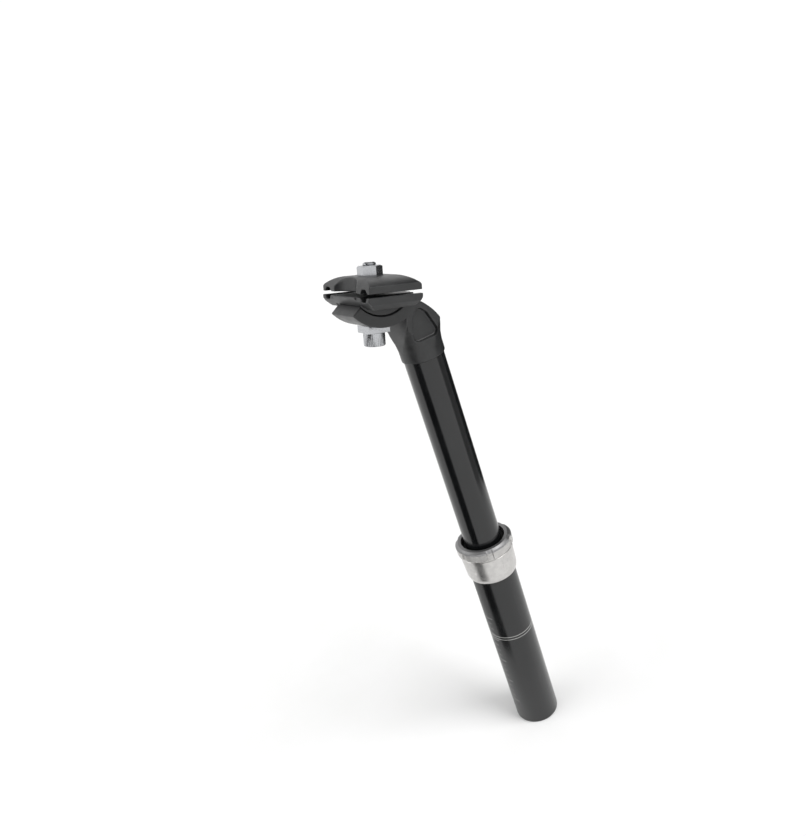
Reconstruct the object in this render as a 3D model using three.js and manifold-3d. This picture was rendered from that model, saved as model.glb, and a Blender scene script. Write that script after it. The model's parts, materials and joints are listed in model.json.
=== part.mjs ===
// Telescopic suspension seatpost for a bicycle, 31.6 mm x 350 mm, in millimetres.
//
// The stanchion slides down into the outer tube against a coil spring. A screwed lock collar holds the
// wiper and the upper bush, three keys stop the stanchion turning, and a screwed plug in the foot sets the
// spring's preload. The forged head carries a cradle and an upper clamp that grip the two saddle rails, drawn
// together by one bolt. The cradle rocks in the head's round seat, which sets the saddle's tilt.
//
// Frame: +Z up the post's axis, +X towards the front of the bicycle, origin at the centre of the tube's foot.

import * as THREE from "three";
import { mergeVertices } from "three/addons/utils/BufferGeometryUtils.js";
import Module from "manifold-3d";

// ---------------------------------------------------------------- driving dimensions

const POST_R = 15.8; // outside of the tube that the bicycle's frame clamps
const STANCHION_R = 13;
const RAIL_CENTRE_Z = 350; // post length, foot to rail centre, at full extension
const SETBACK = 20; // rail centre behind the post's axis
const REST_TILT = THREE.MathUtils.degToRad(17); // nose-down from square, to level the saddle
const TILT_LIMIT = THREE.MathUtils.degToRad(10); // either way from rest
const TRAVEL = 50;

const RUNNING_GAP = 0.1; // radial, between pieces that slide
const FIT_GAP = 0.05; // radial, between pieces that are pressed or screwed together
const FACE_GAP = 0.1; // between end faces that touch

const ROUND = 48; // sides of a large circle
const SMALL_ROUND = 24;

// Outer tube
const BORE_R = 14.2;
const TUBE_TOP = 145.5;
const KEY_COUNT = 3;
const KEY_WIDTH = 3;
const KEYWAY_R = 14.9;

// Lock collar, which screws over the tube's top end
const COLLAR_FOOT = 133.8;
const COLLAR_TOP = 161.4;
const COLLAR_FOOT_R = 17.6;
const COLLAR_NECK_R = 18.6; // top of the tapered body
const COLLAR_FLANGE_R = 19.9;
const COLLAR_FLANGE_HEIGHT = 7;
const COLLAR_BEVEL_HEIGHT = 2; // round the flange's top
const COLLAR_BEVEL_R = 17.6;
const COLLAR_MOUTH_R = 15.3; // a lip over the wiper
const COLLAR_BORE_R = POST_R + RUNNING_GAP;
const COLLAR_THROAT_R = 13.6;
const COLLAR_SHOULDER_Z = 148.5;
const WIPER_SEAT_R = 17;
const WIPER_SEAT_Z = 153.9;
const WIPER_HEIGHT = 4.3;

// Upper bush and the rubber ring under it
const BUSH_FOOT = 123;
const BUSH_FLANGE_R = 15.7;
const TOP_OUT_RING_HEIGHT = 5;

// Stanchion
const STANCHION_BORE_R = 11.1;
const STANCHION_FOOT = 84;
const STANCHION_TOP = 300;
const GUIDE_RING_Z = [86, 102]; // groove for the lower guide ring
const GUIDE_RING_SEAT_R = 12.4;
const KEY_FOOT = 104;
const KEYWAY_FOOT = KEY_FOOT - TRAVEL - 2;
const KEY_SEAT_R = 12;
const STOP_FOOT = 160.2;
const STOP_TOP = 168;
const SNAP_RING_THICKNESS = 1.4;
const SNAP_GROOVE_R = 12.1;

// Spring and the stack under it
const PLUG_FOOT = 3;
const PLUG_TOP = 15.9;
const PLUG_SOCKET_FLATS = 10; // hex key size
const PLUG_SOCKET_DEPTH = 8;
const WASHER_TOP = 18.4;
const ELASTOMER_TOP = 43.5;
const SPACER_TOP = 46.1;
const STACK_R = 10.4; // pieces under the spring, which the stanchion's bore passes over
const STACK_BORE_R = 2.5;
const SPRING_WIRE_R = 1.75;
const SPRING_MEAN_R = 8.95;
const SPRING_TURNS = 17;
const END_TURN_PITCH = 3.7; // a closed end turn
const ROD_R = 6.4;
const BUMPER_HEIGHT = 7.5;
const ROD_FOOT = SPACER_TOP + BUMPER_HEIGHT + TRAVEL + 0.9; // meets the bumper at full travel
const STUD_R = 3.9;

// Rail clamp, in its own frame: origin at the tilt centre, x along the rails, z along the bolt
const RAIL_DROP = 8; // rail centre below the tilt centre
const RAIL_R = 3.5;
const RAIL_GROOVE_R = 3.85; // clipped at the rail's radius, which leaves a flat floor
const RAIL_SPACING = 44;
const PARTING_GAP = 2; // between cradle and upper clamp, both gripping the rails
const SEAT_R = 21;
const SADDLE_R = 28; // outside of the head's round seat
const CLAMP_HALF_WIDTH = 28.5;
const HEAD_HALF_WIDTH = 14;
const SKIRT_R = 14; // of the head's foot, on the stanchion
const SKIRT_HEIGHT = 7;
const SPIGOT_LENGTH = 26; // inside the stanchion
const BOLT_R = 4;
const BOLT_HOLE_R = 4.3;
const BOLT_HEAD_R = 6.5;
const BOLT_HEAD_HEIGHT = 8;
const BOLT_SOCKET_FLATS = 6;
const BOLT_SOCKET_DEPTH = 4.5;
const BOLT_TOP = 9;
const DISHED_WASHER_FOOT = -31.6;
const DISHED_WASHER_HALF = 7;
const NUT_FLATS = 13;
const NUT_HEIGHT = 6.5;
const NUT_POCKET_FLOOR = 0.6;
const CLAMP_CROWN = 1.6; // top of the upper clamp's hub
const CLAMP_HALF_LENGTH = 17;
const WAIST_R = 20; // of the hollow in the upper clamp's front and rear
const WAIST_HALF = 11.5; // half the length left at the bolt

const RAIL_AXIS = new THREE.Vector2(Math.cos(REST_TILT), -Math.sin(REST_TILT)); // x, z
const BOLT_AXIS = new THREE.Vector2(Math.sin(REST_TILT), Math.cos(REST_TILT));
const TILT_CENTRE = new THREE.Vector2(-SETBACK, RAIL_CENTRE_Z).addScaledVector(BOLT_AXIS, RAIL_DROP);

const wasm = await Module();
wasm.setup();

// ---------------------------------------------------------------- materials

const metal = (color, roughness) => new THREE.MeshStandardMaterial({ color, roughness, metalness: 1 });
const plain = (color, roughness) => new THREE.MeshStandardMaterial({ color, roughness, metalness: 0 });

const MATERIALS = {
  blackAnodised: plain(0x17181a, 0.28),
  blackForging: plain(0x1b1c1e, 0.42),
  silver: metal(0xc9c7c4, 0.3),
  steel: metal(0xb8b9ba, 0.25),
  rubber: plain(0x101011, 0.75),
  polymer: plain(0x2a2b2c, 0.55),
  paleElastomer: plain(0xc8a24a, 0.6),
  springSteel: metal(0x5b5d60, 0.4),
  brass: metal(0xb8923f, 0.35),
};

// ---------------------------------------------------------------- helpers

// A closed outline of [radius, height] points turned about Z.
function turned(outline, sides = ROUND) {
  const doubledArea = outline.reduce((sum, [r, z], i) => {
    const [r2, z2] = outline[(i + 1) % outline.length];
    return sum + r * z2 - r2 * z;
  }, 0);
  const ordered = doubledArea > 0 ? outline : [...outline].reverse();
  const points = [...ordered, ordered[0]].map(([r, z]) => new THREE.Vector2(r, z));
  return new THREE.LatheGeometry(points, sides).rotateX(Math.PI / 2);
}

const tube = (innerR, outerR, foot, top, sides = ROUND) =>
  turned([[innerR, foot], [outerR, foot], [outerR, top], [innerR, top]], sides);

const rod = (r, foot, top, sides = SMALL_ROUND) =>
  new THREE.CylinderGeometry(r, r, top - foot, sides).rotateX(Math.PI / 2).translate(0, 0, (foot + top) / 2);

// A hexagonal bar along Z, its flats this far apart.
const hexBar = (flats, foot, top) => rod(flats / Math.sqrt(3), foot, top, 6);

// A box between two corners.
function box(low, high) {
  const size = high.map((value, i) => value - low[i]);
  return new THREE.BoxGeometry(...size).translate(...high.map((value, i) => (value + low[i]) / 2));
}

// An outline in the XZ plane, extruded along Y to half a width either side.
function sideways(shape, halfWidth, curveSegments = 12) {
  return new THREE.ExtrudeGeometry(shape, { depth: 2 * halfWidth, bevelEnabled: false, curveSegments })
    .rotateX(Math.PI / 2)
    .translate(0, halfWidth, 0);
}

// An outline in the YZ plane, extruded along X to half a length either side.
function lengthways(shape, halfLength, curveSegments = 12) {
  return new THREE.ExtrudeGeometry(shape, { depth: 2 * halfLength, bevelEnabled: false, curveSegments })
    .rotateX(Math.PI / 2)
    .rotateZ(Math.PI / 2)
    .translate(-halfLength, 0, 0);
}

function solidOf(geometry) {
  const bare = geometry.index ? geometry.toNonIndexed() : geometry.clone();
  bare.deleteAttribute("normal");
  bare.deleteAttribute("uv");
  const merged = mergeVertices(bare, 1e-3);
  return new wasm.Manifold(
    new wasm.Mesh({
      numProp: 3,
      vertProperties: merged.attributes.position.array,
      triVerts: new Uint32Array(merged.index.array),
    }),
  );
}

function geometryOf(solid) {
  const mesh = solid.getMesh();
  return new THREE.BufferGeometry()
    .setAttribute("position", new THREE.BufferAttribute(mesh.vertProperties, 3))
    .setIndex(new THREE.BufferAttribute(mesh.triVerts, 1));
}

const cut = (geometry, ...tools) =>
  geometryOf(tools.reduce((s, t) => s.subtract(solidOf(t)), solidOf(geometry)));
const join = (geometry, ...others) =>
  geometryOf(others.reduce((s, o) => s.add(solidOf(o)), solidOf(geometry)));
const common = (geometry, ...others) =>
  geometryOf(others.reduce((s, o) => s.intersect(solidOf(o)), solidOf(geometry)));

// One named mesh.
function piece(name, geometry, material) {
  const mesh = new THREE.Mesh(geometry, material);
  mesh.name = name;
  return mesh;
}

function group(...members) {
  const made = new THREE.Group();
  made.add(...members);
  return made;
}

const keyAngle = (i) => (i * 2 * Math.PI) / KEY_COUNT;

// ---------------------------------------------------------------- outer tube and what it holds

function outerTube() {
  const chamfer = 0.6;
  const wall = turned([
    [BORE_R + chamfer, 0],
    [POST_R - chamfer, 0],
    [POST_R, chamfer],
    [POST_R, TUBE_TOP - chamfer],
    [POST_R - chamfer, TUBE_TOP],
    [BORE_R, TUBE_TOP],
    [BORE_R, chamfer],
  ]);
  const side = KEY_WIDTH / 2 + RUNNING_GAP;
  const keyway = (i) => box([0, -side, KEYWAY_FOOT], [KEYWAY_R, side, TUBE_TOP + 1]).rotateZ(keyAngle(i));
  return piece("outer_tube", cut(wall, keyway(0), keyway(1), keyway(2)), MATERIALS.blackAnodised);
}

// A flanged sleeve: the flange rests on the tube's top, under the collar's shoulder.
function upperBush() {
  const flangeFoot = TUBE_TOP + FACE_GAP;
  const outline = [
    [STANCHION_R + FIT_GAP, BUSH_FOOT],
    [BORE_R - FIT_GAP, BUSH_FOOT],
    [BORE_R - FIT_GAP, flangeFoot],
    [BUSH_FLANGE_R, flangeFoot],
    [BUSH_FLANGE_R, COLLAR_SHOULDER_Z - FACE_GAP],
    [STANCHION_R + FIT_GAP, COLLAR_SHOULDER_Z - FACE_GAP],
  ];
  return piece("upper_bush", turned(outline), MATERIALS.polymer);
}

function topOutRing() {
  const top = BUSH_FOOT - FACE_GAP;
  const ring = tube(STANCHION_R + RUNNING_GAP, BORE_R - RUNNING_GAP, top - TOP_OUT_RING_HEIGHT, top);
  return piece("top_out_ring", ring, MATERIALS.rubber);
}

// The elastomer under the spring, which the preload plug squeezes.
function preloadElastomer() {
  const boreR = 3;
  const waistR = STACK_R - 0.8;
  const foot = WASHER_TOP + FACE_GAP;
  const third = (ELASTOMER_TOP - foot) / 3;
  const outline = [[boreR, foot], [STACK_R, foot], [waistR, foot + third], [waistR, foot + 2 * third]];
  outline.push([STACK_R, ELASTOMER_TOP], [boreR, ELASTOMER_TOP]);
  return piece("preload_elastomer", turned(outline, SMALL_ROUND), MATERIALS.paleElastomer);
}

function spacerDisc() {
  const disc = tube(STACK_BORE_R, STACK_R, ELASTOMER_TOP + FACE_GAP, SPACER_TOP, SMALL_ROUND);
  return piece("spacer_disc", disc, MATERIALS.steel);
}

function bottomOutBumper() {
  const foot = SPACER_TOP + FACE_GAP;
  const top = foot + BUMPER_HEIGHT;
  const taper = 2.5;
  const outline = [[STACK_BORE_R, foot], [ROD_R, foot], [ROD_R, top - taper]];
  outline.push([ROD_R - 1.5, top], [STACK_BORE_R, top]);
  return piece("bottom_out_bumper", turned(outline, SMALL_ROUND), MATERIALS.rubber);
}

// The wire's centre line: a closed turn at each end and even turns between.
class SpringLine extends THREE.Curve {
  getPoint(t, target = new THREE.Vector3()) {
    const foot = SPACER_TOP + FACE_GAP + SPRING_WIRE_R;
    const top = STOP_FOOT - FACE_GAP - SPRING_WIRE_R;
    const evenPitch = (top - foot - 2 * END_TURN_PITCH) / (SPRING_TURNS - 2);
    const turn = t * SPRING_TURNS;
    const even = THREE.MathUtils.clamp(turn - 1, 0, SPRING_TURNS - 2);
    const z = foot + (turn - even) * END_TURN_PITCH + even * evenPitch;
    const angle = turn * 2 * Math.PI;
    return target.set(SPRING_MEAN_R * Math.cos(angle), SPRING_MEAN_R * Math.sin(angle), z);
  }
}

function mainSpring() {
  const stepsPerTurn = 14;
  const section = new THREE.Shape().absarc(0, 0, SPRING_WIRE_R, 0, 2 * Math.PI);
  const wire = new THREE.ExtrudeGeometry(section, {
    steps: SPRING_TURNS * stepsPerTurn,
    curveSegments: 4,
    extrudePath: new SpringLine(),
  });
  return piece("main_spring", wire, MATERIALS.springSteel);
}

// ---------------------------------------------------------------- preload adjuster

function preloadWasher() {
  const washer = tube(4, BORE_R - 0.4, PLUG_TOP + FACE_GAP, WASHER_TOP, SMALL_ROUND);
  return piece("preload_washer", washer, MATERIALS.steel);
}

const SEAL_Z = [11, 13]; // the groove near the plug's top that holds its sealing ring
const SEAL_SEAT_R = 12.6;

function preloadPlug() {
  const r = BORE_R - RUNNING_GAP;
  const chamfer = 0.8;
  const body = turned([
    [0, PLUG_FOOT],
    [r - chamfer, PLUG_FOOT],
    [r, PLUG_FOOT + chamfer],
    [r, SEAL_Z[0]],
    [SEAL_SEAT_R, SEAL_Z[0]],
    [SEAL_SEAT_R, SEAL_Z[1]],
    [r, SEAL_Z[1]],
    [r, PLUG_TOP],
    [0, PLUG_TOP],
  ]);
  const socket = hexBar(PLUG_SOCKET_FLATS, PLUG_FOOT - 1, PLUG_FOOT + PLUG_SOCKET_DEPTH);
  return piece("preload_plug", cut(body, socket), MATERIALS.silver);
}

function plugSeal() {
  const ring = tube(SEAL_SEAT_R + FIT_GAP, BORE_R - RUNNING_GAP, SEAL_Z[0] + FACE_GAP, SEAL_Z[1] - FACE_GAP);
  return piece("plug_seal", ring, MATERIALS.rubber);
}

// ---------------------------------------------------------------- lock collar and wiper

// A tapered body under a bevelled grip flange, with a groove between them.
function lockCollar() {
  const rounding = 0.8;
  const flangeFoot = COLLAR_TOP - COLLAR_FLANGE_HEIGHT;
  const grooveR = COLLAR_NECK_R - 0.6;
  const grooveHalf = 0.4;
  const groove = flangeFoot - 3 * grooveHalf;
  const seatTop = WIPER_SEAT_Z + WIPER_HEIGHT + 2 * FACE_GAP;
  const outline = [
    [COLLAR_BORE_R, COLLAR_FOOT],
    [COLLAR_FOOT_R - rounding, COLLAR_FOOT],
    [COLLAR_FOOT_R, COLLAR_FOOT + 1.5 * rounding],
    [COLLAR_FOOT_R + 0.3, COLLAR_FOOT + 4 * rounding],
    [COLLAR_NECK_R, groove - 5 * grooveHalf],
    [COLLAR_NECK_R, groove - 2 * grooveHalf],
    [grooveR, groove - grooveHalf],
    [grooveR, groove + grooveHalf],
    [COLLAR_FLANGE_R, flangeFoot],
    [COLLAR_FLANGE_R, COLLAR_TOP - COLLAR_BEVEL_HEIGHT],
    [COLLAR_BEVEL_R, COLLAR_TOP],
    [COLLAR_MOUTH_R + rounding / 2, COLLAR_TOP],
    [COLLAR_MOUTH_R, COLLAR_TOP - rounding / 2],
    [COLLAR_MOUTH_R, seatTop],
    [WIPER_SEAT_R, seatTop],
    [WIPER_SEAT_R, WIPER_SEAT_Z],
    [COLLAR_THROAT_R, WIPER_SEAT_Z],
    [COLLAR_THROAT_R, COLLAR_SHOULDER_Z],
    [COLLAR_BORE_R, COLLAR_SHOULDER_Z],
  ];
  return piece("lock_collar", turned(outline), MATERIALS.silver);
}

// A dished ring with one lip on the stanchion.
function wiperSeal() {
  const outerR = WIPER_SEAT_R - RUNNING_GAP;
  const lipR = STANCHION_R + FIT_GAP;
  const lipHeight = 1;
  const dishR = 14.9;
  const foot = WIPER_SEAT_Z + FACE_GAP;
  const top = foot + WIPER_HEIGHT;
  const outline = [
    [lipR + 0.45, foot],
    [outerR, foot],
    [outerR, top - 0.9],
    [outerR - 0.5, top - 0.5],
    [dishR, top - 1.2],
    [lipR + 0.65, top],
    [lipR, top],
    [lipR, top - lipHeight],
  ];
  return piece("wiper_seal", turned(outline), MATERIALS.rubber);
}

// ---------------------------------------------------------------- stanchion and what rides in it

function stanchion() {
  const groove = STOP_TOP + FACE_GAP;
  const grooveTop = groove + SNAP_RING_THICKNESS + 2 * FACE_GAP;
  const wall = turned([
    [STANCHION_BORE_R, STANCHION_FOOT],
    [STANCHION_R - 0.5, STANCHION_FOOT],
    [STANCHION_R, STANCHION_FOOT + 0.5],
    [STANCHION_R, GUIDE_RING_Z[0]],
    [GUIDE_RING_SEAT_R, GUIDE_RING_Z[0]],
    [GUIDE_RING_SEAT_R, GUIDE_RING_Z[1]],
    [STANCHION_R, GUIDE_RING_Z[1]],
    [STANCHION_R, STANCHION_TOP - FACE_GAP],
    [STANCHION_BORE_R, STANCHION_TOP - FACE_GAP],
    [STANCHION_BORE_R, grooveTop],
    [SNAP_GROOVE_R, grooveTop],
    [SNAP_GROOVE_R, groove],
    [STANCHION_BORE_R, groove],
  ]);
  const side = KEY_WIDTH / 2 + FIT_GAP;
  const [low, high] = [KEY_FOOT - FIT_GAP, keyTop() + FIT_GAP];
  const seat = (i) => box([KEY_SEAT_R, -side, low], [STANCHION_R + 1, side, high]).rotateZ(keyAngle(i));
  return piece("stanchion", cut(wall, seat(0), seat(1), seat(2)), MATERIALS.blackAnodised);
}

// The keys rise to the rubber ring under the upper bush, and stop the stanchion there.
const keyTop = () => BUSH_FOOT - TOP_OUT_RING_HEIGHT - 3 * FACE_GAP;

function antiRotationKey(i) {
  const side = KEY_WIDTH / 2;
  const key = box([KEY_SEAT_R + FIT_GAP, -side, KEY_FOOT], [KEYWAY_R - 0.15, side, keyTop()]);
  const made = piece(`anti_rotation_key_${i + 1}`, key, MATERIALS.brass);
  made.rotation.z = keyAngle(i);
  return made;
}

// A ring with a slit, so that it can be sprung into the stanchion's groove.
function lowerGuideRing() {
  const slit = 0.5;
  const [foot, top] = [GUIDE_RING_Z[0] + FACE_GAP, GUIDE_RING_Z[1] - FACE_GAP];
  const ring = tube(GUIDE_RING_SEAT_R + FIT_GAP, BORE_R - RUNNING_GAP, foot, top);
  const gap = box([-BORE_R, -slit, foot - 1], [0, slit, top + 1]);
  return piece("lower_guide_ring", cut(ring, gap), MATERIALS.polymer);
}

function springStop() {
  const outline = [[STUD_R + FIT_GAP, STOP_FOOT], [STANCHION_BORE_R - FIT_GAP, STOP_FOOT]];
  outline.push([STANCHION_BORE_R - FIT_GAP, STOP_TOP], [STUD_R + FIT_GAP, STOP_TOP]);
  return piece("spring_stop", turned(outline), MATERIALS.silver);
}

// A rod down the middle of the spring, whose foot meets the bumper at the end of the travel.
function guideRod() {
  const shoulder = STOP_FOOT - FACE_GAP;
  const outline = [
    [0, ROD_FOOT],
    [ROD_R - 1, ROD_FOOT],
    [ROD_R, ROD_FOOT + 1],
    [ROD_R, shoulder],
    [STUD_R, shoulder],
    [STUD_R, STOP_TOP - 0.5],
    [0, STOP_TOP - 0.5],
  ];
  return piece("guide_rod", turned(outline, SMALL_ROUND), MATERIALS.polymer);
}

function snapRing() {
  const foot = STOP_TOP + 2 * FACE_GAP;
  const top = foot + SNAP_RING_THICKNESS;
  const halfMouth = 3.5;
  const ring = tube(STANCHION_BORE_R - 1.8, SNAP_GROOVE_R - FIT_GAP, foot, top);
  const mouth = box([0, -halfMouth, foot - 1], [SNAP_GROOVE_R, halfMouth, top + 1]);
  return piece("snap_ring", cut(ring, mouth), MATERIALS.springSteel);
}

// ---------------------------------------------------------------- head and rail clamp

// A point of the rail clamp's frame, this far from the tilt centre and this many degrees forward of straight
// down, in the post's own X and Z.
function seatPoint(radius, degrees) {
  const a = THREE.MathUtils.degToRad(degrees);
  return TILT_CENTRE.clone()
    .addScaledVector(BOLT_AXIS, -radius * Math.cos(a))
    .addScaledVector(RAIL_AXIS, radius * Math.sin(a));
}

// The clamp's frame turned and moved to where the clamp sits on the post.
const inClampPlace = (geometry) => geometry.rotateY(REST_TILT).translate(TILT_CENTRE.x, 0, TILT_CENTRE.y);

// The head seen from the side: a neck that leans back into a crescent under the cradle.
function headSideShape() {
  const neckFoot = STANCHION_TOP + SKIRT_HEIGHT;
  const [rear, front, neckRear] = [-46, 50, 33]; // degrees round the seat
  const frontLip = seatPoint(SEAT_R, front);
  const shape = new THREE.Shape().moveTo(-SKIRT_R, STANCHION_TOP).lineTo(SKIRT_R, STANCHION_TOP);
  shape.lineTo(SKIRT_R, neckFoot);
  shape.bezierCurveTo(SKIRT_R, neckFoot + 16, SKIRT_R / 2, neckFoot + 24, frontLip.x + 5, frontLip.y - 1);
  shape.lineTo(frontLip.x, frontLip.y);
  arcThrough(shape, SEAT_R, front, rear);
  shape.lineTo(seatPoint(SADDLE_R, rear).x, seatPoint(SADDLE_R, rear).y);
  arcThrough(shape, SADDLE_R, rear, neckRear);
  shape.quadraticCurveTo(-SKIRT_R + 0.6, neckFoot + 15, -SKIRT_R, neckFoot + 4);
  return shape;
}

function arcThrough(shape, radius, fromDegrees, toDegrees) {
  const steps = 16;
  for (let i = 1; i <= steps; i++) {
    const p = seatPoint(radius, fromDegrees + ((toDegrees - fromDegrees) * i) / steps);
    shape.lineTo(p.x, p.y);
  }
}

// A trumpet that brings the neck down to a round skirt on the stanchion.
function neckTrumpet() {
  const flare = [[SKIRT_R, -10], [SKIRT_R, SKIRT_HEIGHT], [16, 16], [22, 28], [60, 40], [60, 80]];
  const outline = [[0, -10], ...flare, [0, 80]];
  return turned(outline.map(([r, height]) => [r, STANCHION_TOP + height]));
}

function seatHead() {
  const spigot = tube(5, STANCHION_BORE_R - FIT_GAP, STANCHION_TOP - SPIGOT_LENGTH, STANCHION_TOP + 1);
  const neck = common(sideways(headSideShape(), HEAD_HALF_WIDTH), neckTrumpet());
  // room for the bolt to swing with the cradle
  const reach = SADDLE_R * Math.sin(TILT_LIMIT);
  const halfSlot = BOLT_R + 0.4;
  const slot = new THREE.Shape();
  slot.absarc(reach, 0, halfSlot, -Math.PI / 2, Math.PI / 2);
  slot.absarc(-reach, 0, halfSlot, Math.PI / 2, (3 * Math.PI) / 2);
  const slotBar = new THREE.ExtrudeGeometry(slot, { depth: 22, bevelEnabled: false }).translate(0, 0, -38);
  return piece("seat_head", cut(join(neck, spigot), inClampPlace(slotBar)), MATERIALS.blackForging);
}

// The two grooves for the saddle rails, as cutters along the rails. The floor side is clipped flat.
function railGrooves(floorSign) {
  const floor = -RAIL_DROP + floorSign * RAIL_R;
  return [-1, 1].map((side) => {
    const y = (side * RAIL_SPACING) / 2;
    const bar = rod(RAIL_GROOVE_R, -30, 30).rotateZ(Math.PI / SMALL_ROUND).rotateY(Math.PI / 2);
    const low = floorSign < 0 ? floor : floor - 20;
    return common(bar.translate(0, y, -RAIL_DROP), box([-31, y - 10, low], [31, y + 10, low + 20]));
  });
}

// The lower clamp half. Its round underside rocks in the head's seat.
function railCradle() {
  const top = -RAIL_DROP - PARTING_GAP / 2;
  const outerR = SEAT_R - 0.25;
  const edge = Math.acos(-top / outerR);
  const round = new THREE.Shape().absarc(0, 0, outerR, -Math.PI / 2 - edge, -Math.PI / 2 + edge);
  const belly = sideways(round, HEAD_HALF_WIDTH - 0.5, 32);
  const half = CLAMP_HALF_WIDTH;
  const wing = new THREE.Shape().moveTo(-half, top).lineTo(-half, top - 3.5);
  wing.lineTo(-half + 2.5, top - 7).lineTo(half - 2.5, top - 7).lineTo(half, top - 3.5).lineTo(half, top);
  const wings = common(lengthways(wing, 25), sideways(round, CLAMP_HALF_WIDTH + 1, 32));
  const bolt = rod(BOLT_HOLE_R, -40, 0);
  return piece("rail_cradle", cut(join(belly, wings), ...railGrooves(-1), bolt), MATERIALS.blackForging);
}

function upperClamp() {
  const foot = -RAIL_DROP + PARTING_GAP / 2;
  const half = CLAMP_HALF_WIDTH;
  const front = new THREE.Shape().moveTo(-half, foot).lineTo(half, foot).lineTo(half, foot + 4);
  front.bezierCurveTo(half - 6, foot + 7.5, 15, CLAMP_CROWN, 9, CLAMP_CROWN).lineTo(-9, CLAMP_CROWN);
  front.bezierCurveTo(-15, CLAMP_CROWN, -half + 6, foot + 7.5, -half, foot + 4);
  const end = CLAMP_HALF_LENGTH;
  const side = new THREE.Shape().moveTo(-end, foot).lineTo(end, foot).lineTo(end, foot + 3);
  side.quadraticCurveTo(end - 4, CLAMP_CROWN, end / 2, CLAMP_CROWN).lineTo(-end / 2, CLAMP_CROWN);
  side.quadraticCurveTo(4 - end, CLAMP_CROWN, -end, foot + 3);
  const body = common(lengthways(front, 25), sideways(side, half + 1));
  const bolt = rod(BOLT_HOLE_R, -20, 10);
  const pocket = hexBar(NUT_FLATS + 0.4, NUT_POCKET_FLOOR - FACE_GAP, 10);
  const waist = (way) => rod(WAIST_R, -20, 20, ROUND).translate(way * (WAIST_R + WAIST_HALF), 0, 0);
  const shaped = cut(body, ...railGrooves(1), bolt, pocket, waist(-1), waist(1));
  return piece("upper_clamp", shaped, MATERIALS.blackForging);
}

// Round on top to match the head's underside, flat below for the bolt's head.
function dishedWasher() {
  const half = DISHED_WASHER_HALF;
  const dishR = SADDLE_R + 0.2;
  const edge = Math.asin(half / dishR);
  const side = new THREE.Shape().moveTo(-half, DISHED_WASHER_FOOT).lineTo(half, DISHED_WASHER_FOOT);
  side.absarc(0, 0, dishR, -Math.PI / 2 + edge, -Math.PI / 2 - edge, true);
  const bolt = rod(BOLT_HOLE_R, -40, -20);
  return piece("dished_washer", cut(sideways(side, half), bolt), MATERIALS.steel);
}

function clampBolt() {
  const headTop = DISHED_WASHER_FOOT - FACE_GAP;
  const headFoot = headTop - BOLT_HEAD_HEIGHT;
  const body = turned([
    [0, headFoot],
    [BOLT_HEAD_R - 0.6, headFoot],
    [BOLT_HEAD_R, headFoot + 0.6],
    [BOLT_HEAD_R, headTop],
    [BOLT_R, headTop],
    [BOLT_R, BOLT_TOP - 1],
    [BOLT_R - 1, BOLT_TOP],
    [0, BOLT_TOP],
  ], SMALL_ROUND);
  const socket = hexBar(BOLT_SOCKET_FLATS, headFoot - 1, headFoot + BOLT_SOCKET_DEPTH);
  return piece("clamp_bolt", cut(body, socket), MATERIALS.steel);
}

function clampNut() {
  const nut = cut(
    hexBar(NUT_FLATS, NUT_POCKET_FLOOR, NUT_POCKET_FLOOR + NUT_HEIGHT),
    rod(BOLT_R + FIT_GAP, -5, 20),
  );
  return piece("clamp_nut", nut, MATERIALS.steel);
}

function railClamp() {
  const clamp = group(railCradle(), dishedWasher(), clampBolt(), upperClamp(), clampNut());
  clamp.position.set(TILT_CENTRE.x, 0, TILT_CENTRE.y);
  clamp.rotation.y = REST_TILT;
  return clamp;
}

// ---------------------------------------------------------------- assembly

const keys = Array.from({ length: KEY_COUNT }, (_, i) => antiRotationKey(i));

const springStack = [preloadElastomer(), spacerDisc(), bottomOutBumper(), mainSpring()];

const seatpost = group(
  group(outerTube(), upperBush(), topOutRing(), ...springStack),
  group(preloadPlug(), plugSeal(), preloadWasher()),
  group(lockCollar(), wiperSeal()),
  group(stanchion(), lowerGuideRing(), ...keys, springStop(), guideRod(), snapRing(), seatHead()),
  railClamp(),
);
seatpost.name = "suspension_seatpost";

export default seatpost;
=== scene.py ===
"""A telescopic suspension seatpost for a bicycle: the looks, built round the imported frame.

Shapes are worked out in millimetres and become meshes in metres. Turned pieces stand on the post's axis, Z.
The rail clamp's pieces are made in the clamp's own frame: origin at the centre that the saddle tilts about,
x along the saddle rails and z up the clamp bolt.
"""

import json
import math
from collections import namedtuple

import bmesh
import bpy
from mathutils import Matrix, Vector


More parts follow.
